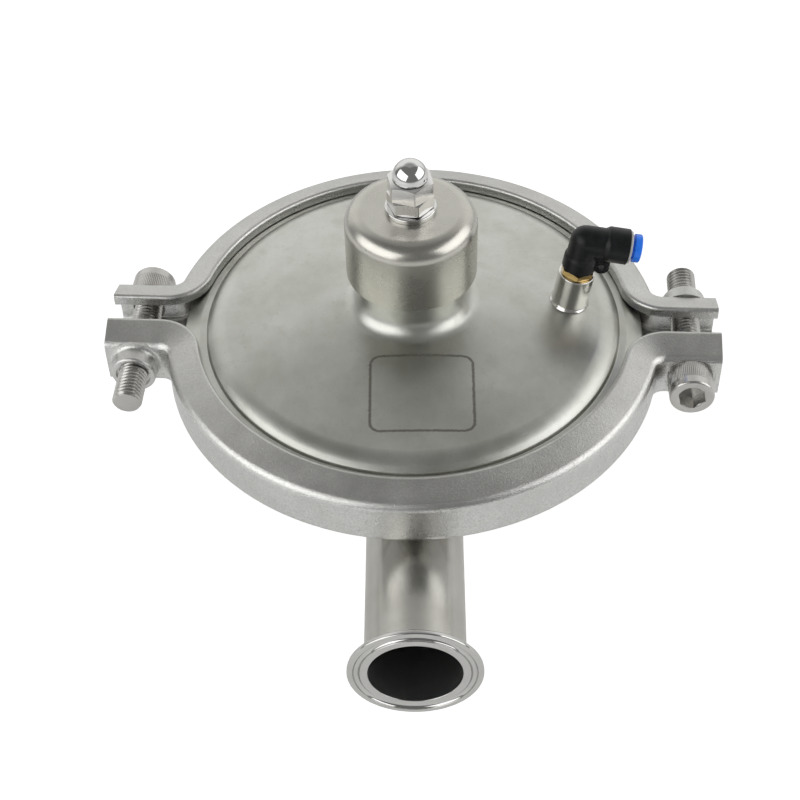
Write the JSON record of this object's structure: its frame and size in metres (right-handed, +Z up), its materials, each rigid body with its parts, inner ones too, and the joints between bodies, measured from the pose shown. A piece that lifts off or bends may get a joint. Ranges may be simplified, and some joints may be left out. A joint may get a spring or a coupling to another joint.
{
  "type": "constant pressure valve",
  "caption": "Sanitary diaphragm valve with conical cover, central turret, ring clamp, side inlet, bottom outlet and swivelling push-in air elbow.",
  "frame": {"origin": "centre of the outlet port's face", "axes": "+Z up the valve axis from the outlet to the turret; -Y along the inlet port, away from the valve"},
  "size_m": [0.2486, 0.2415, 0.1989],
  "materials": {
    "satin_steel": "satin bead-blasted stainless steel",
    "cover_steel": "satin stainless steel with faint handling stains",
    "polished_steel": "polished stainless steel",
    "machined_steel": "fine turned stainless steel",
    "cast_steel": "sand-cast stainless steel, tumbled",
    "screw_steel": "rolled stainless steel thread and knurled head",
    "sheet_rubber": "matt elastomer",
    "white_polymer": "matt fluoropolymer",
    "brass": "machined brass",
    "black_plastic": "moulded glass-filled plastic",
    "grey_plastic": "moulded plastic",
    "blue_plastic": "moulded plastic"
  },
  "bodies": {
    "housing": {"bowl": "satin_steel", "barrel": "satin_steel", "seat_ring": "machined_steel", "inlet_tube": "satin_steel", "inlet_ferrule": "polished_steel", "outlet_tube": "satin_steel", "outlet_ferrule": "polished_steel", "lower_diaphragm": "white_polymer", "upper_diaphragm": "sheet_rubber", "support_ring": "machined_steel", "support_sectors": "machined_steel", "cover": "cover_steel", "turret": "satin_steel", "guide_bush": "white_polymer", "stem_seal": "sheet_rubber", "stop_screw": "machined_steel", "nut_washer": "polished_steel", "lock_nut": "polished_steel", "cap_nut": "polished_steel", "clamp_front": "cast_steel", "clamp_rear": "cast_steel", "clamp_screws": "screw_steel", "air_stub": "satin_steel", "elbow_stud": "brass", "swivel_seal": "sheet_rubber"},
    "plug_unit": {"stem": "machined_steel", "plug": "machined_steel", "plug_seal": "white_polymer", "lower_hub": "machined_steel", "upper_hub": "machined_steel", "hub_spacer": "machined_steel", "hub_nut": "machined_steel"},
    "elbow": {"elbow_body": "black_plastic", "tube_seal": "sheet_rubber", "tube_retainer": "grey_plastic"},
    "collar": {"release_collar": "blue_plastic"}
  },
  "joints": [
    {"name": "stem_lift", "type": "slide", "parent": "housing", "child": "plug_unit", "axis": [0, 0, 1], "range_m": [0, 0.008], "deforming": ["lower_diaphragm", "upper_diaphragm", "support_sectors"]},
    {"name": "elbow_swivel", "type": "hinge", "parent": "housing", "child": "elbow", "pos_m": [0.06347, 0.0041, 0.12454], "axis": [0.1458, 0.0094, 0.9893], "continuous": true},
    {"name": "collar_press", "type": "slide", "parent": "elbow", "child": "collar", "axis": [-0.9866, 0.0757, 0.1447], "range_m": [0, 0.001], "stiffness_N_per_m": 400}
  ]
}
